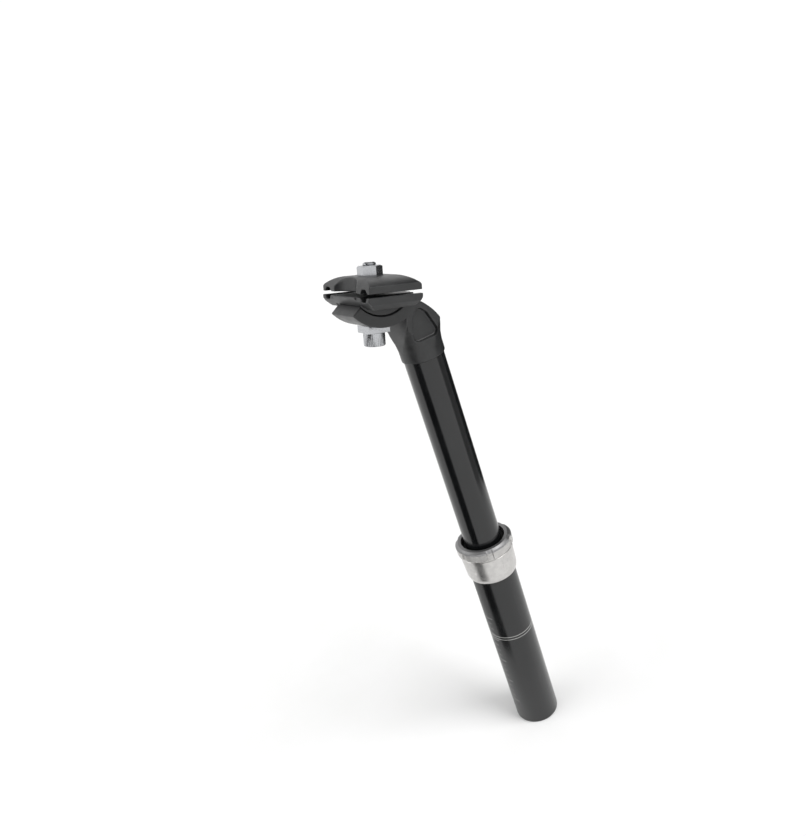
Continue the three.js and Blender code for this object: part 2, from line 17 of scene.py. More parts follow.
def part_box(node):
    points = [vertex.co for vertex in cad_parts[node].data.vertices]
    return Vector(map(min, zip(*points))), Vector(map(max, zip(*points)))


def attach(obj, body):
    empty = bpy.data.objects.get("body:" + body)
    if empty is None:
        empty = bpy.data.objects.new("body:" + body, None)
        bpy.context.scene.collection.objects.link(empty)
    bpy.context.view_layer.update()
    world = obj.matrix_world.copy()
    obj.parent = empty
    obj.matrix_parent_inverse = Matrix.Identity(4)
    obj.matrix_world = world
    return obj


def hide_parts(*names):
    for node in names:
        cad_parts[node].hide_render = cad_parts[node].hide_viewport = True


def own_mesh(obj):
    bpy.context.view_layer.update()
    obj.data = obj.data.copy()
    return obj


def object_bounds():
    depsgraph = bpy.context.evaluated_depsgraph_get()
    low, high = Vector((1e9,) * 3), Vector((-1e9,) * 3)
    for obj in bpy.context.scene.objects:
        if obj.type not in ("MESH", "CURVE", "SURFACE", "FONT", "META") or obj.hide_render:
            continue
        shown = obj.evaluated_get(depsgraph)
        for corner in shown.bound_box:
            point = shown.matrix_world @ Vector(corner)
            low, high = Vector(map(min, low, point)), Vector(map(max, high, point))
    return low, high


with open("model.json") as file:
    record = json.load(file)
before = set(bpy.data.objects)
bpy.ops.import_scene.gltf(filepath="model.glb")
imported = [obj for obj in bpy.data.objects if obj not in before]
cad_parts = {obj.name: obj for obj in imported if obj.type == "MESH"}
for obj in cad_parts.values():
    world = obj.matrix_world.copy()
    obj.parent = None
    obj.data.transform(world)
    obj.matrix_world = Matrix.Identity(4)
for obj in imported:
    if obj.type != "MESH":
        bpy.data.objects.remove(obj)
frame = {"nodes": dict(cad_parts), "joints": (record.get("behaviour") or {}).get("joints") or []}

cad_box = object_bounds()

MM = 0.001
SIDES = 160  # of a large turned piece
FEW_SIDES = 96
CUTTER_SIDES = 64
WELD = 1e-6
SMOOTH_BELOW = math.radians(32)
FACE_GAP = 0.1  # between end faces that touch
RUNNING_GAP = 0.1  # radial, between pieces that slide
FIT_GAP = 0.05  # between pieces that are pressed or screwed together
BEVEL_HEIGHT = 2.0  # round the lock collar's top
SPANNER_NOTCH_DEPTH = 0.75

JOINTS = {joint["name"]: joint for joint in frame["joints"]}


def span(node):
    """The outer radius, foot and top of a turned CAD piece, in mm."""
    low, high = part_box(node)
    return max(high.x, high.y) / MM, low.z / MM, high.z / MM


BOLT_UP = Vector(JOINTS["rail_clamp_open"]["axis"])
TILT_CENTRE = Vector(JOINTS["saddle_tilt"]["pos_m"])
REST_TILT = math.atan2(BOLT_UP.x, BOLT_UP.z)
CLAMP_FRAME = Matrix.Translation(TILT_CENTRE) @ Matrix.Rotation(REST_TILT, 4, "Y")


def clamp_span(node):
    """The lowest and highest corners of a CAD node in the clamp's own frame, in mm."""
    to_clamp = CLAMP_FRAME.inverted()
    spots = [to_clamp @ v.co / MM for v in frame["nodes"][node].data.vertices]
    low = Vector([min(s[i] for s in spots) for i in range(3)])
    high = Vector([max(s[i] for s in spots) for i in range(3)])
    return low, high


# ---- outlines

Thread = namedtuple("Thread", "depth pitch")  # depth is negative where it is cut away from the axis
THREAD_FORM = (0, 0, 1 / 3, 2 / 3, 1, 1, 2 / 3, 1 / 3)  # share of the depth through one turn
Corner = namedtuple("Corner", "x y fillet thread", defaults=(0, None))
SHARPEST, FLATTEST = 0.05, math.pi / 2 - 0.02  # half of the angle at a corner that can be rounded
ARC_SHARE = 0.48  # of the shorter side beside a corner
LEAST_SUPPORT = 0.01


def rounded(corners, steps=4, support=0.12):
    """A closed outline with an arc at each corner that has a fillet.

    Gives (x, y, i), where i is the corner that the point belongs to. A point just outside each end of an
    arc keeps the shading of the straight stretch beside it flat.
    """
    corners = [Corner(*c) for c in corners]
    points = []
    for i, corner in enumerate(corners):
        here = Vector(corner[:2])
        back = Vector(corners[i - 1][:2]) - here
        on = Vector(corners[(i + 1) % len(corners)][:2]) - here
        half = back.angle(on) / 2 if back.length and on.length else 0
        if corner.fillet <= 0 or not SHARPEST < half < FLATTEST:
            points.append((here.x, here.y, i))
            continue
        room = ARC_SHARE * min(back.length, on.length)
        reach = min(corner.fillet / math.tan(half), room)
        radius = reach * math.tan(half)
        centre = here + (back.normalized() + on.normalized()).normalized() * (radius / math.sin(half))
        start = here + back.normalized() * reach - centre
        end = here + on.normalized() * reach - centre
        sweep = start.angle_signed(end)
        hold = min(support, room - reach)
        if hold > LEAST_SUPPORT:
            before = here + back.normalized() * (reach + hold)
            points.append((before.x, before.y, i))
        for k in range(steps + 1):
            # angle_signed is clockwise
            spot = centre + Matrix.Rotation(-sweep * k / steps, 2) @ start
            points.append((spot.x, spot.y, i))
        if hold > LEAST_SUPPORT:
            after = here + on.normalized() * (reach + hold)
            points.append((after.x, after.y, i))
    return points


def arc(radius, start, end, steps, centre=(0, 0)):
    """Points on an arc, its angles in degrees."""
    angles = [math.radians(start + (end - start) * k / steps) for k in range(steps + 1)]
    return [(centre[0] + radius * math.cos(a), centre[1] + radius * math.sin(a)) for a in angles]


def bezier(start, pull, push, end, steps):
    """Points on a cubic curve, without its first."""
    points = []
    for k in range(1, steps + 1):
        t = k / steps
        s = 1 - t
        weights = (s**3, 3 * s * s * t, 3 * s * t * t, t**3)
        spots = (start, pull, push, end)
        points.append(tuple(sum(w * p[i] for w, p in zip(weights, spots)) for i in range(2)))
    return points


def round_ended(half, start, end, steps):
    """The outline of a slot between the centres of its two round ends."""
    side = math.degrees(math.atan2(end[1] - start[1], end[0] - start[0])) - 90
    return arc(half, side, side + 180, steps, end) + arc(half, side + 180, side + 360, steps, start)


def hexagon(flats, turn=0.0):
    """A hexagon by the width across its flats."""
    radius = flats / math.sqrt(3)
    return [(radius * math.cos(a), radius * math.sin(a)) for a in (turn + k * math.pi / 3 for k in range(6))]


# ---- meshes


def to_object(name, bm, place=None):
    bmesh.ops.remove_doubles(bm, verts=bm.verts, dist=WELD)
    bmesh.ops.dissolve_degenerate(bm, edges=bm.edges, dist=WELD / 10)
    bmesh.ops.recalc_face_normals(bm, faces=bm.faces)
    mesh = bpy.data.meshes.new(name)
    bm.to_mesh(mesh)
    bm.free()
    piece = bpy.data.objects.new(name, mesh)
    bpy.context.scene.collection.objects.link(piece)
    if place is not None:
        piece.matrix_world = place
    return piece


def strip(bm, rows):
    """Quads between neighbouring rows of points."""
    made = [[bm.verts.new(Vector(p) * MM) for p in row] for row in rows]
    for row, following in zip(made, made[1:]):
        for a, b, c, d in zip(row, row[1:], following[1:], following):
            bm.faces.new((a, b, c, d))


def ring(r, z, sides):
    angles = [2 * math.pi * i / sides for i in range(sides)]
    row = [(r * math.cos(a), r * math.sin(a), z) for a in angles]
    return row + row[:1]


def thread_rows(r, low, high, thread, sides):
    """The rows of a right-handed screw surface, which runs out at both ends."""
    per_turn = len(THREAD_FORM)
    count = math.ceil((high - low) / thread.pitch * per_turn) + per_turn
    rows = []
    for j in range(count + 1):
        row = []
        for i in range(sides + 1):
            z = low + (j / per_turn + i / sides - 1) * thread.pitch
            z = min(max(z, low), high)
            run_out = min(1, (z - low) / thread.pitch, (high - z) / thread.pitch)
            radius = r - thread.depth * THREAD_FORM[j % per_turn] * run_out
            a = 2 * math.pi * (i % sides) / sides
            row.append((radius * math.cos(a), radius * math.sin(a), z))
        rows.append(row)
    return rows


def turned(name, corners, sides=SIDES, steps=4, place=None):
    """A body turned about Z from (radius, height, fillet, thread) corners.

    A corner's thread is on the straight stretch after it.
    """
    bm = bmesh.new()
    outline = rounded(corners, steps)
    for (r1, z1, i), (r2, z2, k) in zip(outline, outline[1:] + outline[:1]):
        thread = Corner(*corners[i]).thread if i != k else None
        if thread:
            strip(bm, thread_rows(r1, min(z1, z2), max(z1, z2), thread, sides))
        elif r1 > 0 or r2 > 0:
            strip(bm, [ring(r1, z1, sides), ring(r2, z2, sides)])
    return to_object(name, bm, place)


def prism(name, outline, low, high, along, place=None):
    """A prism of a closed outline between two heights along an axis.

    The outline is in (y, z) along "X", in (x, z) along "Y" and in (x, y) along "Z".
    """
    order = {"X": (2, 0, 1), "Y": (0, 2, 1), "Z": (0, 1, 2)}[along]
    bm = bmesh.new()
    ends = []
    for height in (low, high):
        spots = [(*p, height) for p in outline]
        verts = [bm.verts.new(Vector([spot[i] for i in order]) * MM) for spot in spots]
        ends.append(verts)
        bm.faces.new(verts)
    for i in range(len(outline)):
        k = (i + 1) % len(outline)
        bm.faces.new((ends[0][i], ends[0][k], ends[1][k], ends[1][i]))
    bmesh.ops.triangulate(bm, faces=[f for f in bm.faces if len(f.verts) > 4])
    return to_object(name, bm, place)


def swept(name, centres, frames, section):
    """A section of (across, up) points carried along centres, each with its own directions."""
    bm = bmesh.new()
    rings = []
    for centre, (across, up) in zip(centres, frames):
        spots = [centre + across * a + up * b for a, b in section]
        rings.append([bm.verts.new(s * MM) for s in spots])
    for one, other in zip(rings, rings[1:]):
        for i in range(len(section)):
            k = (i + 1) % len(section)
            bm.faces.new((one[i], one[k], other[k], other[i]))
    bm.faces.new(rings[0])
    bm.faces.new(rings[-1])
    return to_object(name, bm)


def applied(piece, kind, **settings):
    """The piece with one modifier applied to its mesh."""
    modifier = piece.modifiers.new(kind, kind)
    for key, value in settings.items():
        setattr(modifier, key, value)
    bpy.context.view_layer.update()
    graph = bpy.context.evaluated_depsgraph_get()
    mesh = bpy.data.meshes.new_from_object(piece.evaluated_get(graph))
    piece.modifiers.clear()
    old = piece.data
    piece.data = mesh
    mesh.name = piece.name
    bpy.data.meshes.remove(old)
    return piece


def combined(piece, operation, tools):
    for tool in tools:
        applied(piece, "BOOLEAN", operation=operation, object=tool, solver="MANIFOLD")
        bpy.data.objects.remove(tool)
    return piece


def cut(piece, *tools):
    return combined(piece, "DIFFERENCE", tools)


def joined(piece, *others):
    return combined(piece, "UNION", others)


def common(piece, *others):
    return combined(piece, "INTERSECT", others)


def forged(piece, voxel, softening):
    """The piece with its edges rounded over, as a forging's are."""
    applied(piece, "REMESH", mode="VOXEL", voxel_size=voxel * MM, adaptivity=0)
    applied(piece, "SMOOTH", factor=0.5, iterations=softening)
    return piece


def eased(piece, width, segments, above):
    """Bevels the edges that are sharper than this many degrees."""
    how = {"limit_method": "ANGLE", "angle_limit": math.radians(above)}
    return applied(piece, "BEVEL", width=width * MM, segments=segments, **how)


def in_clamp_frame(piece):
    piece.matrix_world = CLAMP_FRAME
    return piece


def reshaped(piece, move):
    """Moves each point of a piece to move(radius, angle, height), in mm and radians."""
    for v in piece.data.vertices:
        r = math.hypot(v.co.x, v.co.y) / MM
        a = math.atan2(v.co.y, v.co.x)
        r, a, z = move(r, a, v.co.z / MM)
        v.co = Vector((r * math.cos(a), r * math.sin(a), z)) * MM
    return piece


def finished(piece, body, node, material):
    """The piece stands for its CAD node and rides on that node's body."""
    mesh = piece.data
    mesh.materials.clear()
    mesh.materials.append(material)
    mesh.shade_smooth()
    mesh.set_sharp_from_angle(angle=SMOOTH_BELOW)
    mesh.transform(piece.matrix_world)
    piece.matrix_world = Matrix()
    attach(piece, body)
    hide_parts(node)
    return piece


# ---- materials


def node(tree, kind, inputs=None, **settings):
    """A shader node, whose inputs are values or other nodes' sockets."""
    made = tree.nodes.new("ShaderNode" + kind)
    for key, value in settings.items():
        setattr(made, key, value)
    for key, value in (inputs or {}).items():
        if isinstance(value, bpy.types.NodeSocket):
            tree.links.new(value, made.inputs[key])
        else:
            made.inputs[key].default_value = value
    return made


def ramp(tree, factor, low, high, out_low=0.0, out_high=1.0):
    """A number mapped from one range to another, held at the ends."""
    values = {"Value": factor, "From Min": low, "From Max": high, "To Min": out_low, "To Max": out_high}
    return node(tree, "MapRange", values).outputs["Result"]


class Surface:
    """A Principled material with colour, roughness and bump built up in layers."""

    def __init__(self, name, colour, roughness, **uniform):
        self.material = bpy.data.materials.new(name)
        self.material.use_nodes = True
        self.tree = self.material.node_tree
        self.shader = self.tree.nodes["Principled BSDF"]
        self.shader.inputs["Base Color"].default_value = (*colour, 1)
        self.shader.inputs["Roughness"].default_value = roughness
        for key, value in uniform.items():
            self.shader.inputs[key.replace("_", " ")].default_value = value
        self.colour = (*colour, 1)
        self.bump = None
        self.place = node(self.tree, "TexCoord").outputs["Object"]

    def calc(self, operation, *values):
        return node(self.tree, "Math", dict(enumerate(values)), operation=operation).outputs[0]

    def xyz(self):
        return node(self.tree, "SeparateXYZ", {0: self.place}).outputs

    def radius(self):
        """The distance from the axis, Z."""
        x, y, _ = self.xyz()
        flat = node(self.tree, "CombineXYZ", {0: x, 1: y}).outputs[0]
        return node(self.tree, "VectorMath", {0: flat}, operation="LENGTH").outputs["Value"]

    def noise(self, size, detail=3.0, roughness=0.5, vector=None, stretch=(1, 1, 1)):
        """Noise whose features are about this many mm across, in the object's own space."""
        place = {0: vector or self.place, 1: stretch}
        values = {
            "Vector": node(self.tree, "VectorMath", place, operation="MULTIPLY").outputs[0],
            "Scale": 1 / (size * MM),
            "Detail": detail,
            "Roughness": roughness,
        }
        return node(self.tree, "TexNoise", values).outputs[0]

    def turning(self, pitch):
        """The fine rings that a lathe leaves: noise of the distance from the axis and the height."""
        place = node(self.tree, "CombineXYZ", {0: self.radius(), 1: self.xyz()[2]}).outputs[0]
        return self.noise(pitch, detail=2, roughness=0.6, vector=place)

    def mix_colour(self, factor, colour):
        mix = node(self.tree, "Mix", {0: factor, 6: self.colour, 7: (*colour, 1)}, data_type="RGBA")
        self.colour = mix.outputs[2]
        self.tree.links.new(self.colour, self.shader.inputs["Base Color"])

    def tint(self, colour, pattern, low, high, most=1.0):
        """Mixes in a colour as a pattern goes from low to high."""
        self.mix_colour(ramp(self.tree, pattern, low, high, 0.0, most), colour)

    def set_roughness(self, value):
        self.tree.links.new(value, self.shader.inputs["Roughness"])

    def vary_roughness(self, pattern, low, high, smooth, rough):
        self.set_roughness(ramp(self.tree, pattern, low, high, smooth, rough))

    def add_bump(self, height, depth):
        """Relief this many mm deep."""
        values = {"Height": height, "Distance": depth * MM, "Strength": 1.0}
        if self.bump:
            values["Normal"] = self.bump
        self.bump = node(self.tree, "Bump", values).outputs[0]
        self.tree.links.new(self.bump, self.shader.inputs["Normal"])


def gloss_anodised(name, smooth=0.12, worn=0.21):
    """Polished tube, hard anodised black: an even gloss with faint drawing lines and handling marks."""
    made = Surface(name, (0.0045, 0.0048, 0.0052), smooth, IOR=1.57)
    smudge = made.noise(9, detail=5, roughness=0.6, stretch=(1, 1, 0.35))
    made.tint((0.008, 0.0085, 0.009), smudge, 0.45, 0.75)
    made.vary_roughness(smudge, 0.3, 0.75, smooth, worn)
    made.add_bump(made.turning(0.22), 0.0012)
    made.add_bump(made.noise(14, detail=1), 0.012)
    return made


def satin_forging():
    """Forged aluminium, shot-blasted and anodised: a fine even grain with slightly paler high spots."""
    made = Surface("satin_black_forging", (0.010, 0.0105, 0.011), 0.4, IOR=1.55)
    cloud = made.noise(6, detail=4)
    made.tint((0.018, 0.0185, 0.019), cloud, 0.4, 0.8)
    made.vary_roughness(cloud, 0.3, 0.7, 0.34, 0.46)
    made.add_bump(made.noise(0.16, detail=2), 0.012)
    made.add_bump(made.noise(1.4, detail=2), 0.02)
    return made


def turned_aluminium(name="turned_aluminium"):
    """Silver aluminium off the lathe: fine rings, a soft sheen, and small scratches."""
    made = Surface(name, (0.60, 0.59, 0.575), 0.27, Metallic=1.0)
    rings = made.turning(0.09)
    smudge = made.noise(4, detail=5, roughness=0.65)
    made.tint((0.44, 0.43, 0.42), smudge, 0.35, 0.8)
    made.tint((0.74, 0.73, 0.72), rings, 0.3, 0.75, most=0.35)
    both = made.calc("ADD", made.calc("MULTIPLY", rings, 0.5), smudge)
    made.vary_roughness(both, 0.45, 1.1, 0.15, 0.3)
    made.add_bump(rings, 0.006)
    return made


def knurled_collar(grip_r, bevel_z):
    """Polished aluminium, fine straight knurling round the grip flange with painted shade in its grooves,
    and a rougher bevel above it with a painted reflection of the dark saddle.
    """
    made = turned_aluminium("turned_aluminium_knurled_grip")
    x, y, z = made.xyz()
    bevel = made.calc("GREATER_THAN", z, bevel_z * MM)
    polish = ramp(made.tree, made.noise(2.5, detail=4), 0.3, 0.7, 0.27, 0.4)
    made.set_roughness(made.calc("MAXIMUM", polish, made.calc("MULTIPLY", bevel, 0.5)))
    grip = made.calc("GREATER_THAN", made.radius(), grip_r * MM)
    ridges = 150
    turn = made.calc("MULTIPLY", made.calc("ARCTAN2", y, x), ridges)
    # painted shade: the grip band's colour is mixed a little darker, for the shade in the knurl's grooves
    made.mix_colour(made.calc("MULTIPLY", grip, 0.2), (0.33, 0.325, 0.32))
    # painted reflection: the bevel's colour is mixed much darker, standing in for the dark saddle overhead
    # that it would reflect
    made.mix_colour(made.calc("MULTIPLY", bevel, 0.85), (0.22, 0.22, 0.225))
    made.add_bump(made.calc("MULTIPLY", made.calc("SINE", turn), grip), 0.06)
    return made


def zinc_plate():
    """Bright zinc on steel, slightly blue, with a fine mottle."""
    made = Surface("zinc_plated_steel", (0.50, 0.51, 0.53), 0.24, Metallic=1.0)
    mottle = made.noise(0.6, detail=4, roughness=0.6)
    made.tint((0.44, 0.445, 0.455), mottle, 0.4, 0.7)
    made.vary_roughness(mottle, 0.3, 0.7, 0.2, 0.32)
    made.add_bump(mottle, 0.003)
    return made


def spring_wire():
    """Dark oil-tempered wire with a film of grease."""
    made = Surface("oil_tempered_wire", (0.12, 0.125, 0.135), 0.34, Metallic=1.0)
    film = made.noise(3, detail=5, roughness=0.65)
    made.tint((0.22, 0.215, 0.21), film, 0.4, 0.7)
    made.vary_roughness(film, 0.35, 0.65, 0.22, 0.5)
    made.add_bump(made.noise(0.3, detail=2), 0.006)
    return made


def moulded_rubber():
    """Black rubber with a matt, slightly dusty skin."""
    made = Surface("moulded_rubber", (0.012, 0.012, 0.0125), 0.6, IOR=1.5)
    dust = made.noise(2.2, detail=5, roughness=0.65)
    made.tint((0.03, 0.0295, 0.029), dust, 0.5, 0.8)
    made.vary_roughness(dust, 0.3, 0.7, 0.52, 0.72)
    made.add_bump(made.noise(0.12), 0.01)
    return made


def bearing_plastic():
    """Dark bearing plastic, machined, with faint rings."""
    made = Surface("bearing_plastic", (0.035, 0.036, 0.038), 0.42, IOR=1.5)
    made.tint((0.075, 0.076, 0.078), made.noise(0.25, detail=2), 0.55, 0.75)
    made.vary_roughness(made.noise(3), 0.3, 0.7, 0.36, 0.5)
    made.add_bump(made.turning(0.15), 0.006)
    return made


def elastomer_foam():
    """Amber closed-cell foam: fine cells under a thin skin."""
    scatter = {"Subsurface_Weight": 0.15, "Subsurface_Scale": 0.001}
    made = Surface("elastomer_foam", (0.52, 0.31, 0.06), 0.5, IOR=1.48, **scatter)
    cell_size = 0.55
    values = {"Vector": made.place, "Scale": 1 / (cell_size * MM)}
    cells = node(made.tree, "TexVoronoi", values, feature="SMOOTH_F1").outputs["Distance"]
    made.tint((0.60, 0.39, 0.10), made.noise(5), 0.35, 0.7)
    made.mix_colour(ramp(made.tree, cells, 0.0, 0.35, 0.5, 0.0), (0.30, 0.16, 0.03))
    made.add_bump(cells, 0.05)
    return made


def machined_brass():
    """Brass with a thin brown tarnish."""
    made = Surface("machined_brass", (0.66, 0.45, 0.17), 0.28, Metallic=1.0)
    tarnish = made.noise(2.0, detail=5, roughness=0.6)
    made.tint((0.45, 0.28, 0.10), tarnish, 0.45, 0.75)
    made.vary_roughness(tarnish, 0.3, 0.7, 0.2, 0.42)
    made.add_bump(made.noise(0.2, detail=2, stretch=(1, 1, 0.1)), 0.005)
    return made


INSERTION_LINES, LINE_HALF = (84.0, 81.8), 0.3  # these must stay inside the frame
SCALE_MIDDLE, SCALE_HALF = 60, 40.5


def marked_tube():
    """The tube's gloss black, with a pale etched height scale at the back and two lines round it."""
    made = gloss_anodised("gloss_black_marked_tube", smooth=0.19, worn=0.29)
    x, y, z = made.xyz()

    def near(value, centre, half):
        away = made.calc("ABSOLUTE", made.calc("SUBTRACT", value, centre * MM))
        return made.calc("LESS_THAN", away, half * MM)

    def ticks(pitch, half_height, half_width):
        along = made.calc("FLOORED_MODULO", z, pitch * MM)
        centred = made.calc("ABSOLUTE", made.calc("SUBTRACT", along, pitch / 2 * MM))
        marks = made.calc("GREATER_THAN", centred, (pitch / 2 - half_height) * MM)
        return made.calc("MULTIPLY", marks, near(y, 0, half_width))

    back = made.calc("LESS_THAN", x, -5 * MM)
    scale_zone = made.calc("MULTIPLY", back, near(z, SCALE_MIDDLE, SCALE_HALF))
    scale = made.calc("MAXIMUM", ticks(5, 0.16, 2.0), ticks(20, 0.2, 4.0))
    lines = made.calc("MAXIMUM", *[near(z, line, LINE_HALF) for line in INSERTION_LINES])
    etched = made.calc("MAXIMUM", made.calc("MULTIPLY", scale, scale_zone), lines)
    made.mix_colour(made.calc("MULTIPLY", etched, 0.85), (0.32, 0.32, 0.31))
    return made


BLACK = gloss_anodised("gloss_black_anodised").material
MARKED = marked_tube().material
FORGING = satin_forging().material
SILVER = turned_aluminium().material
COLLAR_R, COLLAR_FOOT, COLLAR_TOP = span("lock_collar")
GRIPPED = knurled_collar(COLLAR_R - SPANNER_NOTCH_DEPTH - 0.1, COLLAR_TOP - BEVEL_HEIGHT).material
ZINC = zinc_plate().material
WIRE = spring_wire().material
RUBBER = moulded_rubber().material
PLASTIC = bearing_plastic().material
FOAM = elastomer_foam().material
BRASS = machined_brass().material

# ---- lower post

TUBE_R, TUBE_FOOT, TUBE_TOP = span("outer_tube")
PLUG_R, PLUG_FOOT, PLUG_TOP = span("preload_plug")
STANCHION_R, STANCHION_FOOT, STANCHION_TOP = span("stanchion")
BORE_R = PLUG_R + RUNNING_GAP
KEY_OUTER, KEY_FOOT, KEY_TOP = span("anti_rotation_key_1")
TRAVEL = JOINTS["suspension_travel"]["range_m"][1] / MM
KEYS = 3
COARSE = 1.5  # pitch of the tube's two threads


def key_bar(name, i, width, inner, outer, foot, top, steps=12):
    """A round-ended bar that stands at a key's place, from one radius to another."""
    half = width / 2
    outline = round_ended(half, (0, foot + half), (0, top - half), steps)
    return prism(name, outline, inner, outer, "X", Matrix.Rotation(i * 2 * math.pi / KEYS, 4, "Z"))


def make_outer_tube():
    corners = [
        (BORE_R + 0.5, TUBE_FOOT, 0.25), (TUBE_R, TUBE_FOOT, 0.7),
        (TUBE_R, COLLAR_FOOT + 1.5, 0, Thread(0.75, COARSE)),
        (TUBE_R, TUBE_TOP - 0.5), (TUBE_R, TUBE_TOP, 0.45), (BORE_R, TUBE_TOP, 0.3),
        (BORE_R, PLUG_TOP + 8, 0, Thread(-0.6, COARSE)),
        (BORE_R, TUBE_FOOT + 1.6), (BORE_R, TUBE_FOOT + 1),
    ]
    tube = turned("outer_tube_body", corners)
    foot, top = KEY_FOOT - TRAVEL - 2, TUBE_TOP + 3
    return cut(tube, *[key_bar("cutter", i, 3.2, 12, BORE_R + 0.7, foot, top) for i in range(KEYS)])


def make_upper_bush():
    r, foot, top = span("upper_bush")
    bore, sleeve, flange = STANCHION_R + 0.06, BORE_R - FIT_GAP, TUBE_TOP + FACE_GAP
    corners = [
        (bore, foot, 0.5), (sleeve, foot, 0.6), (sleeve, foot + 5.5, 0.15),
        (sleeve - 0.35, foot + 6, 0.1), (sleeve - 0.35, flange - 6, 0.1), (sleeve, flange - 5.5, 0.15),
        (sleeve, flange), (r, flange, 0.2), (r, top, 0.5), (bore, top, 0.6),
    ]
    bush = turned("upper_bush_body", corners)

    def oil_ways(radius, angle, z):
        """Eight shallow flutes down the bore, so grease stays in."""
        if radius < bore + 0.02:
            radius += 0.35 * max(0.0, math.cos(angle * 8)) ** 6
        return radius, angle, z

    return reshaped(bush, oil_ways)


def make_top_out_ring():
    r, foot, top = span("top_out_ring")
    bore = STANCHION_R + RUNNING_GAP
    corners = [(bore, foot, 0.4), (r, foot, 0.5), (r, top, 0.5), (bore, top, 0.4)]
    corners.append((bore + 0.2, (foot + top) / 2, 0.6))
    return turned("top_out_ring_body", corners)


def make_spring():
    """Round wire, wound right-handed, with a closed turn at each end that is ground flat."""
    r, foot, top = span("main_spring")
    wire = 1.72  # its radius
    turns, end_turns, per_turn = 17, 1, 56
    mean = r - wire - 0.03
    closed = 2 * wire + 0.12  # an end turn's rise
    left = wire * 0.55  # below the wire's centre, once it is ground
    low, high = foot + left, top - left
    even = (high - low - 2 * closed * end_turns) / (turns - 2 * end_turns)
    section = arc(wire, 0, 360, 20)[:-1]
    centres, frames = [], []
    for k in range(turns * per_turn + 1):
        turn = k / per_turn
        wound = min(max(turn - end_turns, 0), turns - 2 * end_turns)
        z = low + (turn - wound) * closed + wound * even
        a = turn * 2 * math.pi
        out = Vector((math.cos(a), math.sin(a), 0))
        centres.append(out * mean + Vector((0, 0, z)))
        frames.append((out, Vector((0, 0, 1))))
    spring = swept("main_spring_wire", centres, frames, section)
    for v in spring.data.vertices:
        v.co.z = min(max(v.co.z, foot * MM), top * MM)
    return spring


def make_elastomer():
    r, foot, top = span("preload_elastomer")
    bore, waist = 3, r - 0.9
    rings, crest = 4, 0.45
    half = (top - foot) / rings / 2
    corners = [(bore, foot, 0.3), (r, foot, 1.2)]
    for i in range(rings):
        middle = foot + (top - foot) * (i + 0.5) / rings
        if i:
            corners.append((waist, middle - half, 1.0))
        corners += [(r, middle - half * crest, 1.4), (r, middle + half * crest, 1.4)]
    corners += [(r, top, 1.2), (bore, top, 0.3)]
    return turned("preload_elastomer_body", corners, sides=FEW_SIDES)


def make_spacer_disc():
    r, foot, top = span("spacer_disc")
    bore = 2.5
    corners = [(bore, foot, 0.4), (r, foot, 0.4), (r, top, 0.4), (ROD_R + 0.4, top, 0.2)]
    corners += [(ROD_R - 0.2, top - 0.4, 0.2), (bore, top - 0.4, 0.3)]
    return turned("spacer_disc_body", corners, sides=FEW_SIDES)


def make_bumper():
    r, foot, top = span("bottom_out_bumper")
    bore = 2.5
    corners = [
        (bore, foot, 0.3), (r, foot, 0.6), (r, foot + 2.4, 0.6), (r - 0.9, foot + 3.2, 0.6),
        (r, foot + 4.0, 0.6), (r, top - 2.2, 1.6), (r - 1.8, top, 0.8), (bore, top, 0.5),
    ]
    return turned("bottom_out_bumper_body", corners, sides=FEW_SIDES)


# ---- preload adjuster


def make_preload_washer():
    r, foot, top = span("preload_washer")
    bore = 4
    corners = [(bore, foot, 0.4), (r, foot, 0.5), (r, top, 0.6), (bore, top, 0.4)]
    return turned("preload_washer_body", corners, sides=FEW_SIDES)


def make_preload_plug():
    foot, top = PLUG_FOOT, PLUG_TOP
    seal_r, seal_foot, seal_top = span("plug_seal")
    seat = seal_r - 1.55
    corners = [
        (0, foot + 0.5), (8.2, foot + 0.5, 0.2), (8.8, foot, 0.3), (PLUG_R - 0.7, foot, 0.3),
        (PLUG_R, foot + 0.9, 0, Thread(0.6, COARSE)),
        (PLUG_R, seal_foot - 0.5), (PLUG_R, seal_foot - FACE_GAP, 0.1), (seat, seal_foot - FACE_GAP, 0.2),
        (seat, seal_top + FACE_GAP, 0.2), (PLUG_R, seal_top + FACE_GAP, 0.15), (PLUG_R, top, 0.6),
        (0, top),
    ]
    plug = turned("preload_plug_body", corners)
    socket = prism("cutter", hexagon(10), foot - 1, foot + 8, "Z")
    cone = [(0, foot - 1), (7.2, foot - 1), (4.9, foot + 1.4), (0, foot + 1.4)]
    return cut(plug, socket, turned("cutter", cone, sides=FEW_SIDES))


def make_plug_seal():
    r, foot, top = span("plug_seal")
    inner = r - 1.45
    corners = [(inner, foot, 0.6), (r, foot, 0.7), (r, top, 0.7), (inner, top, 0.6)]
    return turned("plug_seal_ring", corners, steps=6)


# ---- lock collar and wiper

FLANGE_HEIGHT = 7.0
FOOT_R, BODY_R, BEVEL_R = 17.05, 17.8, 17.6
MOUTH_R = 15.3  # a lip over the wiper
SPANNER_NOTCHES = 6
NOTCH_HALF_WIDTH = 2.0
NOTCH_TURN = math.radians(5)


